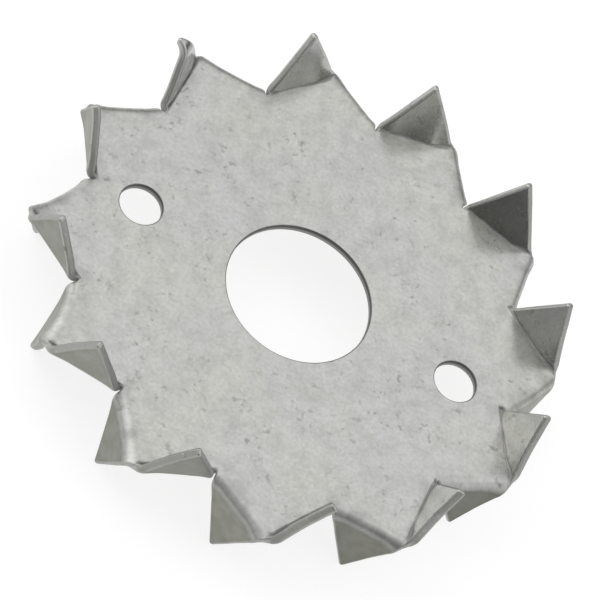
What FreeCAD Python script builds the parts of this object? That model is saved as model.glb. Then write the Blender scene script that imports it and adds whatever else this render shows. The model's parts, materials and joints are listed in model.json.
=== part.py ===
import FreeCAD, Part
import math
import os

# Double-sided toothed plate connector for bolted timber joints: one sheet of galvanised steel.
# The blank is a star. Each star point is slit down its middle and its two halves are folded
# opposite ways, so that every point gives one tooth upwards and one tooth downwards.
# Millimetres. The origin is the centre of the bolt hole at half the sheet's thickness, +Z is the
# side of the upper teeth, and the two nail holes lie on the X axis, each in line with a slit.

# Driving dimensions. The nail hole's land is the metal left between it and the end of its slit.
sheet_thickness = 1.0
bolt_hole_diameter = 17.0
nail_hole_diameter = 5.0
nail_hole_land = 1.95
star_points = 12
blank_diameter = 70.6
corner_diameter = 61.2
slit_root_diameter = 48.4
slit_width = 0.4
fold_inner_radius = 0.6
upper_fold_angle = 78.0
lower_fold_angle = 86.0
tip_radius = 0.3

# Sections that each curved fold is drawn through
fold_sections = 7

# Flat layout: the nail holes, and the tooth on the clockwise side of the slit on +X, from above
pitch_angle = 360.0 / star_points
half_pitch = math.radians(pitch_angle / 2)
half_sheet = sheet_thickness / 2
nail_hole_spacing = slit_root_diameter - nail_hole_diameter - 2 * nail_hole_land
upwards = FreeCAD.Vector(0, 0, 1)
slit_root = FreeCAD.Vector(slit_root_diameter / 2, 0, 0)
star_tip = FreeCAD.Vector(blank_diameter / 2, 0, 0)
corner = FreeCAD.Vector(math.cos(half_pitch), -math.sin(half_pitch), 0) * (corner_diameter / 2)
fold_length = (corner - slit_root).Length
along_fold = (corner - slit_root).normalize()
across_fold = FreeCAD.Vector(-along_fold.y, along_fold.x, 0)
tooth_start = slit_root + along_fold * (slit_width / 2 / -along_fold.y)
sharp_tip = star_tip + (corner - star_tip) * (slit_width / 2 / -corner.y)


def flat_place(point):
    """Place of a flat point as (distance along the fold, distance out from the fold)."""
    offset = point - slit_root
    return offset.dot(along_fold), offset.dot(across_fold)


start_along, _ = flat_place(tooth_start)
tip_along, tip_out = flat_place(sharp_tip)


def slit_edge(out):
    """Place along the fold of the tooth's slit edge, at a distance out from the fold."""
    return start_along + (tip_along - start_along) * out / tip_out


def outline_edge(out):
    """Place along the fold of the tooth's edge on the star's outline, out from the fold."""
    return fold_length + (tip_along - fold_length) * out / tip_out


fold_mid_radius = fold_inner_radius + half_sheet
fold_outer_radius = fold_inner_radius + sheet_thickness


def folded(along, turn, radius):
    """Point in a fold: along it, turned about its axis, at a radius from that axis."""
    outwards = radius * math.sin(turn)
    height = half_sheet + fold_inner_radius - radius * math.cos(turn)
    return slit_root + along_fold * along + across_fold * outwards + upwards * height


def fold_section(turn):
    """Closed wire round the sheet in a fold, in a plane through the fold's axis."""
    out = fold_mid_radius * turn
    corners = [
        folded(slit_edge(out), turn, fold_inner_radius),
        folded(outline_edge(out), turn, fold_inner_radius),
        folded(outline_edge(out), turn, fold_outer_radius),
        folded(slit_edge(out), turn, fold_outer_radius),
    ]
    return Part.makePolygon(corners + corners[:1])


def make_fold(turn):
    """Curved strip between the plate and the straight blade of a tooth."""
    turns = [turn * step / (fold_sections - 1) for step in range(fold_sections)]
    return Part.makeLoft([fold_section(step_turn) for step_turn in turns], True, False)


def make_blade(turn):
    """Straight triangular blade of a tooth, with its point slightly rounded."""
    base_out = fold_mid_radius * turn
    rise = across_fold * math.cos(turn) + upwards * math.sin(turn)
    base_low = folded(slit_edge(base_out), turn, fold_inner_radius)
    base_high = folded(outline_edge(base_out), turn, fold_inner_radius)
    tip = folded(tip_along, turn, fold_inner_radius) + rise * (tip_out - base_out)
    to_low = (base_low - tip).normalize()
    to_high = (base_high - tip).normalize()
    half_point = to_low.getAngle(to_high) / 2
    inwards = (to_low + to_high).normalize()
    round_low = tip + to_low * (tip_radius / math.tan(half_point))
    round_top = tip + inwards * (tip_radius / math.sin(half_point) - tip_radius)
    round_high = tip + to_high * (tip_radius / math.tan(half_point))
    outline = Part.Wire([
        Part.makeLine(base_low, round_low),
        Part.Arc(round_low, round_top, round_high).toShape(),
        Part.makeLine(round_high, base_high),
        Part.makeLine(base_high, base_low),
    ])
    through = folded(0, turn, fold_outer_radius) - folded(0, turn, fold_inner_radius)
    return Part.Face(outline).extrude(through)


def make_tooth(angle):
    """Fold and blade of one tooth, turned upwards by an angle from the plate."""
    turn = math.radians(angle)
    return [make_fold(turn), make_blade(turn)]


def turned(shape, axis, angle):
    """Copy of a shape turned about an axis through the origin."""
    copy = shape.copy()
    copy.rotate(FreeCAD.Vector(0, 0, 0), axis, angle)
    return copy


def spun(point, angle):
    """Point turned about the bolt hole's axis."""
    return FreeCAD.Rotation(upwards, angle).multVec(point)


def make_plate():
    """Flat star between the folds, with round slit roots, the bolt hole and the nail holes."""
    other_start = FreeCAD.Vector(tooth_start.x, -tooth_start.y, 0)
    root_end = FreeCAD.Vector(tooth_start.x - slit_width / 2, 0, 0)
    edges = []
    for index in range(star_points):
        here = -index * pitch_angle
        after = here - pitch_angle
        root = Part.Arc(spun(other_start, here), spun(root_end, here), spun(tooth_start, here))
        edges.append(root.toShape())
        edges.append(Part.makeLine(spun(tooth_start, here), spun(corner, here)))
        edges.append(Part.makeLine(spun(corner, here), spun(other_start, after)))
    outline = Part.Wire(edges)
    outline.translate(upwards * -half_sheet)
    plate = Part.Face(outline).extrude(upwards * sheet_thickness)
    holes = [(0, bolt_hole_diameter)]
    holes += [(side * nail_hole_spacing / 2, nail_hole_diameter) for side in (-1, 1)]
    for place, diameter in holes:
        base = FreeCAD.Vector(place, 0, -sheet_thickness)
        plate = plate.cut(Part.makeCylinder(diameter / 2, 2 * sheet_thickness, base))
    return plate


upper_tooth = make_tooth(upper_fold_angle)
lower_tooth = [turned(shape, FreeCAD.Vector(1, 0, 0), 180) for shape in make_tooth(lower_fold_angle)]
pieces = []
for point_index in range(star_points):
    for shape in upper_tooth + lower_tooth:
        pieces.append(turned(shape, upwards, point_index * pitch_angle))

toothed_plate = make_plate().multiFuse(pieces).Solids[0]

os.makedirs("parts", exist_ok=True)
toothed_plate.exportStep("parts/toothed_plate.step")
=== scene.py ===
import cmath
import json
import math

import bpy
import numpy as np
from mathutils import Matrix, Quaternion, Vector
from mathutils.geometry import delaunay_2d_cdt


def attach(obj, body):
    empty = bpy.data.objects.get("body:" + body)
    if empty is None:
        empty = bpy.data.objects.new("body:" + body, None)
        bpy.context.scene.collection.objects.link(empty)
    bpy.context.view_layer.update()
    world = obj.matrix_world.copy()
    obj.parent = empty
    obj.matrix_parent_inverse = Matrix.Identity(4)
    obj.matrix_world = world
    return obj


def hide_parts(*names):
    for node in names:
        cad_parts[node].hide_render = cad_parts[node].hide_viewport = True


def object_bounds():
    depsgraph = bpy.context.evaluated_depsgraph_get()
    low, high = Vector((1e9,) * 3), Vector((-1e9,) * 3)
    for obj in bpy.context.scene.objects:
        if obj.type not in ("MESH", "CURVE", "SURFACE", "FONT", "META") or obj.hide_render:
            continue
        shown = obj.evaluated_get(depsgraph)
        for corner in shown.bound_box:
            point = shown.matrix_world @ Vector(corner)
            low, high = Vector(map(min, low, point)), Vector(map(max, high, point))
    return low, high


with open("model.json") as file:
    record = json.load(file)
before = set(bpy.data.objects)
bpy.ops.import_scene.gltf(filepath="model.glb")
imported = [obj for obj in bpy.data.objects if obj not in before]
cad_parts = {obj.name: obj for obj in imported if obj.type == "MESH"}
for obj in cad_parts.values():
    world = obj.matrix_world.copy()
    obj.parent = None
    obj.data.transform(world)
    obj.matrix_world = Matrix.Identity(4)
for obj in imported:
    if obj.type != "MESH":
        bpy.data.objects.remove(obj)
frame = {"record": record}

cad_low, cad_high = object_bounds()

# The toothed plate: one sheet of galvanised steel, cut as a twelve-pointed star. Each point is slit
# down its middle, and the press folds one half up and the other half down, which makes 24 teeth.
# The blank is laid out flat here, in millimetres, and is then folded the way the press folds it.
mm = 0.001
mounts = {mount["name"]: mount["dims"] for mount in frame["record"]["mounts"]}
sheet_thickness = mounts["bolt_hole"]["length_mm"]
bolt_hole_radius = mounts["bolt_hole"]["r_mm"]
nail_hole_radius = mounts["nail_holes"]["hole_r_mm"]
nail_hole_place = mounts["nail_holes"]["spacing_x_mm"] / 2
star_points = 12
star_radius = 34.72
valley_radius = 30.9
valley_rounding = 4.0
fold_corner_radius = 30.3
fold_root_radius = 24.6
slit_root_radius = 25.5
slit_width = 0.2
slit_root_rounding = 0.09
tip_rounding = 0.36
edge_rounding = 0.34
hole_rounding = 0.16
fold_inner_radius = 0.2
upper_fold = math.radians(78)
lower_fold = math.radians(86)

# Points of the flat blank are complex numbers, x + iy, so that turning one is a product.
pitch = 2 * math.pi / star_points
fold_root = complex(fold_root_radius)
star_tip = complex(star_radius)
corner_line = cmath.rect(1, -pitch / 2)
valley = valley_radius * corner_line
fold_along = fold_corner_radius * corner_line - fold_root
fold_length = abs(fold_along)
fold_along /= fold_length
outline_along = (star_tip - valley) / abs(star_tip - valley)
tooth_tip = star_tip + (valley - star_tip) * (slit_width / 2 / -valley.imag)
tooth_length = ((tooth_tip - fold_root) / fold_along).imag


def rounded_loop(corners, step):
    """Points along a closed outline and the directions out of the sheet there, its corners rounded.

    A corner is (point, radius), and the sheet lies to the left of the outline.
    """
    arcs = []
    for index, (here, radius) in enumerate(corners):
        before = corners[index - 1][0]
        after = corners[(index + 1) % len(corners)][0]
        arriving = (here - before) / abs(here - before)
        turn = cmath.phase((after - here) / arriving)
        side = math.copysign(radius, turn)
        start = here - arriving * radius * math.tan(abs(turn) / 2)
        turns = np.linspace(0, turn, 2 + int(radius * abs(turn) / step))
        outwards = -1j * arriving * np.exp(1j * turns)
        arcs.append((start + 1j * arriving * side + outwards * side, outwards))
    points, directions = [], []
    for (arc, outwards), (next_arc, _) in zip(arcs, arcs[1:] + arcs[:1]):
        run = next_arc[0] - arc[-1]
        shares = np.linspace(0, 1, 1 + max(1, round(abs(run) / step)))[1:-1]
        points += [arc, arc[-1] + run * shares]
        directions += [outwards, np.full(len(shares), outwards[-1])]
    return np.concatenate(points), np.concatenate(directions)


def round_hole(centre, radius, step):
    """Points round a hole, with the sheet on their left, and the directions into the hole."""
    count = round(2 * math.pi * radius / step)
    outwards = np.exp(-2j * math.pi * np.arange(count) / count)
    return centre + radius * outwards, -outwards


cut_step = 0.2
star_corners = []
for turn in np.exp(1j * pitch * np.arange(star_points)):
    root = slit_root_radius - 0.5j * slit_width
    star_corners += [
        (valley * turn, valley_rounding),
        (tooth_tip * turn, tip_rounding),
        (root * turn, slit_root_rounding),
        (root.conjugate() * turn, slit_root_rounding),
        (tooth_tip.conjugate() * turn, tip_rounding),
    ]
holes = [
    (0, bolt_hole_radius),
    (nail_hole_place, nail_hole_radius),
    (-nail_hole_place, nail_hole_radius),
]
cuts = [(*rounded_loop(star_corners, cut_step), edge_rounding)]
cuts += [(*round_hole(centre, radius, cut_step), hole_rounding) for centre, radius in holes]


def slit(degrees):
    """Number of the slit at an angle round the plate, counted from the one on +X."""
    return round(math.radians(degrees) / pitch) % star_points


# No two teeth are alike. What differs is kept in two rows, for the upper and the lower teeth, with one
# value for each slit. A fold begins furthest out at its slit's root, bows into the plate on the way and
# is pulled in at some corners. It is widest at its ends, and dies out in a twist towards the corner.
fold_middle_radius = fold_inner_radius + sheet_thickness / 2
root_spread = 0.35
corner_spread = 0.3
spread_reach = 2.5
root_shift = 0.5
bows = np.full((2, star_points), 0.05)
bows[1] = (-0.5, -0.15, -0.1, 0, 0.1, 0.15, 0.4, 0.4, 0.1, 0.1, 0.1, 0)
pulls = np.zeros((2, star_points))
pulls[0, slit(60):slit(150)] = (0.3, 0.3, 0.5)
corner_twists = np.full((2, star_points), 1.0)
corner_twists[0, slit(60):slit(150)] = 0.7
corner_twists[1] = 2.4
corner_twists[1, slit(30):slit(150)] = 1.1

# The angles of the folds scatter, and the points curl outwards a little. The tooth up from the slit at
# 150 degrees has a hooked point, and its neighbour at 180 degrees a slighter one.
fold_scatter = math.radians(1.0)
uneven = np.random.default_rng(12).uniform(-1, 1, (2, star_points))
fold_angles = np.array([[upper_fold], [lower_fold]]) + fold_scatter * uneven
hook_length = 2.6
hooks = np.full((2, star_points), math.radians(2))
hooks[0, slit(150)] = math.radians(105)
hooks[0, slit(180)] = math.radians(15)

# The press dragged the corners of one side inwards and clockwise, most of all the one at 75 degrees.
# The drag fades to both sides of that corner, and from the folds towards the plate's middle.
corner_drag = -0.6 - 0.95j
dragged_side = cmath.rect(1, math.radians(75))
drag_fade = 6
drag_reach = (22.5, 29.5)


def smooth(share):
    """Even rise from 0 to 1 as the share goes from 0 to 1."""
    share = np.clip(share, 0, 1)
    return share * share * (3 - 2 * share)


def tooth_places(flat):
    """For flat points: the tooth's row and star point, its half laid on +X, and the place at its fold."""
    point = np.round(np.angle(flat) / pitch)
    local = flat * np.exp(-1j * pitch * point)
    lower = local.imag > 0
    local = np.where(lower, local.conjugate(), local)
    place = (local - fold_root) / fold_along
    return (lower.astype(int), point.astype(int) % star_points), local, place


def fold_start(along, tooth):
    """How far out a fold begins, from its shift at the slit's root to its pull at the corner."""
    share = np.clip(along / fold_length, 0, 1)
    return root_shift * (1 - share) - pulls[tooth] * share - bows[tooth] * 4 * share * (1 - share)


def fold_radius(along):
    """Radius of a fold at the middle of the sheet, larger towards the fold's two ends."""
    root_share = 1 - smooth(along / spread_reach)
    corner_share = 1 - smooth((fold_length - along) / spread_reach)
    return fold_middle_radius + root_spread * root_share + corner_spread * corner_share


def fold(flat):
    """Where points of the flat sheet's middle lie once the teeth are folded, as rows of x, y, z."""
    tooth, local, place = tooth_places(flat)
    lower, point = tooth
    start = fold_start(place.real, tooth)
    out = place.imag - start
    from_corner = (local / corner_line).imag
    twist = np.clip(from_corner / corner_twists[tooth], 0, 1)
    limit = fold_angles[tooth] * np.sin(math.pi / 2 * twist)
    radius = fold_radius(place.real)
    turn = np.clip(out / radius, 0, limit)
    blade = out - radius * turn
    hooked = np.maximum(out - tooth_length + hook_length, 0)
    curl = hooks[tooth] / hook_length
    curled = turn - curl * hooked
    across = start + radius * np.sin(turn) + (blade - hooked) * np.cos(turn)
    across += (np.sin(turn) - np.sin(curled)) / curl
    rise = radius * (1 - np.cos(turn)) + (blade - hooked) * np.sin(turn)
    rise += (np.cos(curled) - np.cos(turn)) / curl
    spot = fold_root + fold_along * (place.real + 1j * across)
    spot = np.where(lower, spot.conjugate(), spot) * np.exp(1j * pitch * point)
    direction = flat / abs(flat)
    dragged = (1 - (direction ** star_points).real) / 2
    dragged *= ((1 + (direction / dragged_side).real) / 2) ** drag_fade
    dragged *= smooth((abs(flat) - drag_reach[0]) / (drag_reach[1] - drag_reach[0]))
    spot += corner_drag * direction * dragged
    return np.stack([spot.real, spot.imag, np.where(lower, -rise, rise)], axis=1)


def spread(along_step, out_step, out_first, out_last):
    """Flat points inside the sheet, in rows beside every fold, clear of the cut edges."""
    alongs = np.arange(-1.5 * fold_length, 1.5 * fold_length, along_step)
    outs = np.arange(out_first, out_last, out_step)
    along, out = np.meshgrid(alongs, outs)
    along[1::2] += along_step / 2
    flat = (fold_root + fold_along * (along + 1j * out)).ravel()
    clear = edge_rounding + 0.5 * min(along_step, out_step)
    inside = flat.imag < -slit_width / 2 - clear
    inside &= ((flat - valley) / outline_along).imag > clear
    inside &= (flat / corner_line).imag > clear / 2
    for centre, radius in holes:
        inside &= abs(flat - centre) > radius + hole_rounding + clear
    half = flat[inside]
    pair = np.concatenate([half, half.conjugate()])
    return (pair * np.exp(1j * pitch * np.arange(star_points))[:, None]).ravel()


# The flat sheet is divided into triangles, coarse on the plate, finest across the folds and less fine
# on the straight part of the teeth.
fold_arc = fold_middle_radius * upper_fold
rims = [points - rounding * outwards for points, outwards, rounding in cuts]
inner = [
    spread(along_step=1.6, out_step=1.4, out_first=-20, out_last=-0.9),
    spread(along_step=0.26, out_step=0.12, out_first=-0.5, out_last=fold_arc + 1.2),
    spread(along_step=0.6, out_step=0.5, out_first=fold_arc + 1.5, out_last=tooth_length),
]
flat_points = np.concatenate(rims + inner)
rim_edges, rim_starts = [], [0]
for rim in rims:
    first = rim_starts[-1]
    rim_edges += [(first + i, first + (i + 1) % len(rim)) for i in range(len(rim))]
    rim_starts.append(first + len(rim))
inside_the_edges = 1
same_point = 1e-6
layout = delaunay_2d_cdt(
    [Vector((p.real, p.imag)) for p in flat_points], rim_edges, [], inside_the_edges, same_point)
flat_points = np.array([complex(*p) for p in layout[0]])
triangles = np.array(layout[2])
middles = flat_points[triangles].mean(axis=1)
for centre, radius in holes:
    beyond = abs(middles - centre) > radius + hole_rounding
    triangles, middles = triangles[beyond], middles[beyond]
rim_places = {source: index for index, sources in enumerate(layout[3]) for source in sources}

# The sheet's two faces share that layout, and rings of points round off the cut edges between them.
half_sheet = sheet_thickness / 2
face_count = len(flat_points)
flats = [flat_points, flat_points]
heights = [np.full(face_count, half_sheet), np.full(face_count, -half_sheet)]
leans = [np.zeros(face_count), np.full(face_count, math.pi)]
outs = [np.zeros(face_count, complex), np.zeros(face_count, complex)]
polygons = [tuple(t) for t in triangles] + [tuple(t + face_count) for t in triangles[:, ::-1]]
round_steps = 3
ring_leans = [math.pi / 2 * i / round_steps for i in range(1, round_steps + 1)]
ring_leans += [math.pi - lean for lean in reversed(ring_leans)]
count = 2 * face_count
for (points, outwards, rounding), first in zip(cuts, rim_starts):
    top = np.array([rim_places[first + i] for i in range(len(points))])
    rings = [top]
    for lean in ring_leans:
        flats.append(points - rounding * (1 - math.sin(lean)) * outwards)
        fall = rounding * (1 - abs(math.cos(lean)))
        side = 1 if len(rings) <= round_steps else -1
        heights.append(np.full(len(points), (half_sheet - fall) * side))
        leans.append(np.full(len(points), lean))
        outs.append(outwards)
        rings.append(count + np.arange(len(points)))
        count += len(points)
    rings.append(top + face_count)
    for upper, lower in zip(rings, rings[1:]):
        quads = np.stack([lower, np.roll(lower, -1), np.roll(upper, -1), upper], axis=1)
        polygons += [tuple(q) for q in quads]

# Folding: every point goes to its place on the folded middle, and its height along the normal there.
# The shading leans from that normal to the direction out of the sheet, round each cut edge.
flats = np.concatenate(flats)
heights = np.concatenate(heights)
leans = np.concatenate(leans)
outs = np.concatenate(outs)
nudge = 1e-4
least_length = 1e-12
along_x = fold(flats + nudge) - fold(flats - nudge)
along_y = fold(flats + 1j * nudge) - fold(flats - 1j * nudge)
normals = np.cross(along_x, along_y)
normals /= np.linalg.norm(normals, axis=1)[:, None]
edgewise = along_x * outs.real[:, None] + along_y * outs.imag[:, None]
edgewise /= np.maximum(np.linalg.norm(edgewise, axis=1)[:, None], least_length)
places = (fold(flats) + normals * heights[:, None]) * mm
shading = normals * np.cos(leans)[:, None] + edgewise * np.sin(leans)[:, None]

sheet = bpy.data.meshes.new("toothed_plate_sheet")
sheet.from_pydata(places.tolist(), [], [tuple(map(int, p)) for p in polygons])
sheet.shade_smooth()
sheet.normals_split_custom_set_from_vertices(shading.tolist())
toothed_plate = bpy.data.objects.new("toothed_plate_sheet", sheet)
bpy.context.scene.collection.objects.link(toothed_plate)


def keep_on_points(name, kind, values):
    """Keeps values on the sheet's points, for its finish to read."""
    field = "vector" if kind == "FLOAT_VECTOR" else "value"
    sheet.attributes.new(name, kind, "POINT").data.foreach_set(field, np.ravel(values))


teeth, halves, sheet_places = tooth_places(flats)
from_fold = sheet_places.imag - fold_start(sheet_places.real, teeth)
from_fold *= fold_middle_radius / fold_radius(sheet_places.real)
inside_fold = np.where(teeth[0], heights < 0, heights > 0)
from_edge = np.minimum(-halves.imag, ((halves - valley) / outline_along).imag)
# Painted shade: three of the teeth are made darker still
shaded_teeth = np.zeros((2, star_points))
shaded_teeth[0, slit(-90)] = 0.35
shaded_teeth[1, slit(-60)] = 0.36
shaded_teeth[1, slit(-30)] = 0.6
keep_on_points("blank", "FLOAT_VECTOR", np.stack([flats.real, flats.imag, heights], axis=1))
keep_on_points("from_fold", "FLOAT", from_fold)
keep_on_points("inside_fold", "FLOAT", inside_fold.astype(float))
keep_on_points("from_edge", "FLOAT", from_edge)
keep_on_points("from_slit", "FLOAT", -halves.imag)
keep_on_points("cut", "FLOAT", np.sin(leans))
keep_on_points("tooth_shade", "FLOAT", shaded_teeth[teeth])


class Shade:
    """A value of a material: an output of one of its nodes. Arithmetic on it adds Math nodes."""

    def __init__(self, tree, socket=None):
        self.tree = tree
        self.socket = socket

    def add(self, kind, settings, inputs, output=0):
        """Adds a node, with its settings made first and its inputs then set or linked."""
        node = self.tree.nodes.new(kind)
        for name, value in settings.items():
            setattr(node, name, value)
        for name, value in inputs.items():
            if isinstance(value, Shade):
                self.tree.links.new(value.socket, node.inputs[name])
            else:
                node.inputs[name].default_value = value
        return Shade(self.tree, node.outputs[output])

    def math(self, operation, first, second):
        """Adds a Math node for two values, either of them a plain number or a Shade."""
        return self.add("ShaderNodeMath", {"operation": operation}, {0: first, 1: second})

    def __add__(self, other):
        return self.math("ADD", self, other)

    def __sub__(self, other):
        return self.math("SUBTRACT", self, other)

    def __rsub__(self, other):
        return self.math("SUBTRACT", other, self)

    def __mul__(self, other):
        return self.math("MULTIPLY", self, other)

    __radd__ = __add__
    __rmul__ = __mul__

    def rise(self, low, high):
        """0 below low, 1 above high, and an even rise between them."""
        ends = {"Value": self, "From Min": low, "From Max": high}
        return self.add("ShaderNodeMapRange", {"interpolation_type": "SMOOTHSTEP"}, ends)

    def tint(self, first, second):
        """A colour that goes from the first to the second as this value goes from 0 to 1."""
        factor, first_colour, second_colour, mixed_colour = 0, 6, 7, 2
        inputs = {factor: self, first_colour: first, second_colour: second}
        return self.add("ShaderNodeMix", {"data_type": "RGBA"}, inputs, mixed_colour)


# The zinc: a soft grey mottling some millimetres across, in cool and warm patches, with dark smudges,
# bright flecks and faint scratches. The teeth are painted darker and olive, as painted shade for the dim
# room they mirror, three of them deeper still, and painted shade lies along each inner crease.
steel = bpy.data.materials.new("galvanised_steel")
steel.use_nodes = True
zinc = Shade(steel.node_tree)


def kept(name, output="Fac"):
    """Values kept on the sheet's points."""
    return zinc.add("ShaderNodeAttribute", {"attribute_name": name}, {}, output)


blank = kept("blank", "Vector")
far_away = (71.3, 43.7, 19.1)
clouds_apart = zinc.add("ShaderNodeVectorMath", {}, {0: blank, 1: far_away})


def clouds(size, detail=2.0, place=blank):
    """Noise with patches of about a size in millimetres."""
    return zinc.add("ShaderNodeTexNoise", {}, {"Vector": place, "Scale": 1 / size, "Detail": detail})


def strokes(angle, length, width):
    """Noise drawn out along one direction of the flat sheet."""
    drawn = zinc.add("ShaderNodeMapping", {"vector_type": "TEXTURE"}, {
        "Vector": blank, "Rotation": (0, 0, math.radians(angle)), "Scale": (length, width, 1)})
    return zinc.add("ShaderNodeTexNoise", {}, {"Vector": drawn, "Scale": 1.0, "Detail": 1.0})


warm_zinc = (0.63, 0.63, 0.592, 1)
cool_zinc = (0.608, 0.612, 0.612, 1)
dull_zinc = (0.44, 0.44, 0.42, 1)
bright_zinc = (0.72, 0.72, 0.70, 1)
# Painted shade: the darker, olive zinc of the teeth stands in for the dim room their faces mirror
shaded_tooth_zinc = (0.29, 0.29, 0.26, 1)
shaded_olive_zinc = (0.22, 0.225, 0.185, 1)
# Painted shade, deepest, for three of the teeth
deep_shade_olive = (0.09, 0.093, 0.075, 1)
slit_zinc = (0.55, 0.55, 0.53, 1)
# Painted shade: the darker zinc of the cut edges along the teeth's outline
outline_edge_shade_zinc = (0.38, 0.38, 0.36, 1)
# Painted shade on the walls of the holes and the plate's cut edges, darkest on their upper band
cut_wall_shade_zinc = (0.30, 0.30, 0.29, 1)
burnished_wall_shade_zinc = (0.10, 0.10, 0.10, 1)
# Grey of the real smudges, also used for the painted shade in the creases and beside the folds
smudge_and_shade_grey = (0.24, 0.24, 0.23, 1)

# Patterns all over the sheet, with their sizes in millimetres
mottle = clouds(1.8, 4.0)
grain = clouds(0.42, 2.0)
smudges = clouds(0.8, 2.0).rise(0.57, 0.75) * clouds(5.0).rise(0.41, 0.64)
flecks = clouds(0.5, 1.0, clouds_apart).rise(0.62, 0.8)
scratches = strokes(25, 9, 0.12).rise(0.68, 0.76) + strokes(-60, 7, 0.1).rise(0.70, 0.78)

# Places on the sheet, by how many millimetres they lie past the start of a fold or in from a cut edge
past_fold = kept("from_fold")
cut = kept("cut")
inside = kept("inside_fold")
in_from_edge = kept("from_edge")
folded = past_fold.rise(0.5, 1.3)
# Painted shade on the tooth faces, less of it inside the folds
tooth = folded * (1 - cut) * (1 - inside * 0.8)
bent = past_fold.rise(-0.4, 0.1) * (1 - past_fold.rise(0.9, 1.5)) * (1 - inside)
border = folded * (1 - in_from_edge.rise(0.3, 1.1))
# Painted shade on the plate beside the folds
fold_side_shade = past_fold.rise(-1.8, 0.3) * (1 - folded) * clouds(2.2, 3.0, clouds_apart).rise(0.4, 0.65)
# Painted shade on the plate's cut edges and hole walls
cut_wall_shade = cut * (1 - past_fold.rise(-2.0, -1.0))
height = zinc.add("ShaderNodeSeparateXYZ", {}, {0: blank}, "Z")
# Painted shade: a dark line in each inner crease
crease = inside * past_fold.rise(-0.1, 0.15) * (1 - past_fold.rise(0.75, 1.0)) * (1 - cut)

# The colour in layers, from the plain zinc to the painted shade on the smooth upper band of the hole
# walls
mottling = mottle.rise(0.3, 0.75) * 0.42 + grain.rise(0.3, 0.75) * 0.42
olive = clouds(1.5, 3.0, clouds_apart).rise(0.35, 0.65) * 0.6 + border * 0.4
# Painted shade on the teeth's cut edges away from the slits, along the outline
outline_edge_shade = kept("from_slit").rise(0.2, 0.5)
bright_marks = (flecks * 0.4 + scratches * 0.2) * (1 - tooth)
# Real smudges, with painted shade in the creases and beside the folds
smudges_and_painted_shade = smudges * 0.62 + crease * 0.7 + fold_side_shade * 0.35
# Painted shade, darkest on the upper band of those walls
burnished_wall_shade = cut_wall_shade * height.rise(-0.15, 0.25)
colour = clouds(12.0, 3.0).rise(0.35, 0.65).tint(warm_zinc, cool_zinc)
colour = mottling.tint(colour, dull_zinc)
colour = tooth.tint(colour, olive.tint(shaded_tooth_zinc, shaded_olive_zinc))
colour = (tooth * kept("tooth_shade")).tint(colour, deep_shade_olive)
colour = (folded * cut).tint(colour, outline_edge_shade.tint(slit_zinc, outline_edge_shade_zinc))
colour = bright_marks.tint(colour, bright_zinc)
colour = smudges_and_painted_shade.tint(colour, smudge_and_shade_grey)
colour = cut_wall_shade.tint(colour, cut_wall_shade_zinc)
colour = burnished_wall_shade.tint(colour, burnished_wall_shade_zinc)

# The gloss, and the fine relief of the zinc
plain_roughness = 0.19
relief_strength = 0.12
relief_depth = 0.1 * mm
roughness = plain_roughness + 0.08 * mottle + 0.1 * smudges + 0.16 * tooth + 0.3 * cut
roughness = roughness + 0.3 * crease + 0.2 * bent
relief = grain * 0.4 + mottle * 0.6 - smudges * 0.5
bump = zinc.add("ShaderNodeBump", {}, {
    "Height": relief, "Strength": relief_strength, "Distance": relief_depth})
shader = steel.node_tree.nodes["Principled BSDF"]
shader.inputs["Metallic"].default_value = 1.0
for socket, value in (("Base Color", colour), ("Roughness", roughness), ("Normal", bump)):
    steel.node_tree.links.new(value.socket, shader.inputs[socket])
sheet.materials.append(steel)
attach(toothed_plate, "root")
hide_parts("toothed_plate")

# The floor: a plain white studio table, level with the points of the lower teeth. Its glow is seen by
# the camera and in reflections only, so that it shows white and doesn't light the plate.
half_floor = 1.5
floor_grey = (0.3, 0.3, 0.3, 1)
floor_glow = 0.8
dark = (0, 0, 0, 1)
white = (1, 1, 1, 1)
floor_mesh = bpy.data.meshes.new("floor")
corner_sides = ((-1, -1), (1, -1), (1, 1), (-1, 1))
floor_corners = [(x * half_floor, y * half_floor, cad_low.z) for x, y in corner_sides]
floor_mesh.from_pydata(floor_corners, [], [(0, 1, 2, 3)])
floor = bpy.data.objects.new("floor", floor_mesh)
bpy.context.scene.collection.objects.link(floor)
paper = bpy.data.materials.new("white_table")
paper.use_nodes = True
table = Shade(paper.node_tree)
ray_kinds = ("Camera", "Glossy", "Transmission")
seen = [table.add("ShaderNodeLightPath", {}, {}, f"Is {kind} Ray") for kind in ray_kinds]
seen_white = (seen[0] + seen[1] + seen[2]).rise(0, 1).tint(dark, white)
paper_shader = paper.node_tree.nodes["Principled BSDF"]
paper_shader.inputs["Base Color"].default_value = floor_grey
paper_shader.inputs["Roughness"].default_value = 1.0
paper_shader.inputs["Specular IOR Level"].default_value = 0.0
paper_shader.inputs["Emission Strength"].default_value = floor_glow
paper.node_tree.links.new(seen_white.socket, paper_shader.inputs["Emission Color"])
floor_mesh.materials.append(paper)

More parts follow.
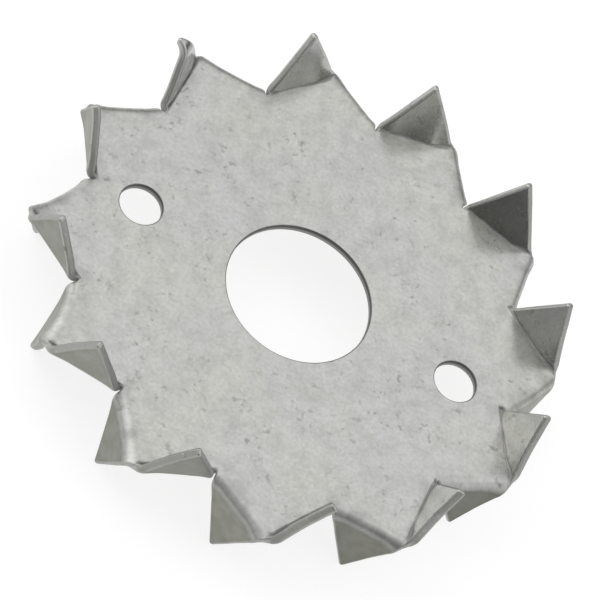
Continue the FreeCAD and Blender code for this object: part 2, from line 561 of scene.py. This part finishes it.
# The light: soft boxes about a metre away in a dim room, beyond the plate, over it and at its sides,
# with two smaller ones in front: one low on the right and one on the left. Between those two, the side
# of the camera stays darkest, and the teeth that face it mirror that.
room_grey = (0.16, 0.16, 0.16, 1)
world = bpy.data.worlds.new("room")
world.use_nodes = True
world.node_tree.nodes["Background"].inputs["Color"].default_value = room_grey
bpy.context.scene.world = world


def soft_box(name, place, size, brightness):
    """A square area lamp that faces the plate, as bright as white paper at a brightness of 1."""
    lamp = bpy.data.lights.new(name, "AREA")
    lamp.size = size
    lamp.energy = brightness * math.pi * size * size
    lamp_object = bpy.data.objects.new(name, lamp)
    lamp_object.location = place
    lamp_object.rotation_euler = (-Vector(place)).to_track_quat("-Z", "Y").to_euler()
    bpy.context.scene.collection.objects.link(lamp_object)


soft_box("far_soft_box", (0.33, 0.48, 0.82), 1.04, 0.8)
soft_box("top_soft_box", (-0.05, -0.05, 1.0), 0.7, 0.65)
soft_box("left_soft_box", (-0.75, 0.31, 0.59), 1.2, 1.45)
soft_box("right_soft_box", (0.78, -0.27, 0.59), 1.1, 0.75)
soft_box("low_soft_box", (0.70, -0.70, 0.14), 0.26, 0.8)
soft_box("front_soft_box", (-0.57, -0.57, 0.59), 0.6, 0.57)

# The camera: high in front of the plate and rolled, as the photograph was taken, with a long lens that
# is aimed close to the middle of the bolt hole.
view_azimuth = math.radians(-10.1)
view_elevation = math.radians(52.9)
view_roll = math.radians(37.5)
view_distance = 410.5 * mm
view_aim = Vector((0.46, -0.28, -0.15)) * mm
view_lens = 225.8
backwards = Vector((
    math.sin(view_azimuth) * math.cos(view_elevation),
    -math.cos(view_azimuth) * math.cos(view_elevation),
    math.sin(view_elevation),
))
camera = bpy.data.cameras.new("camera")
camera.lens = view_lens
camera_object = bpy.data.objects.new("camera", camera)
camera_object.location = view_aim + backwards * view_distance
camera_object.rotation_mode = "QUATERNION"
camera_object.rotation_quaternion = (
    (-backwards).to_track_quat("-Z", "Y") @ Quaternion((0, 0, 1), view_roll))
bpy.context.scene.collection.objects.link(camera_object)
bpy.context.scene.camera = camera_object
bpy.context.scene.view_settings.view_transform = "Standard"
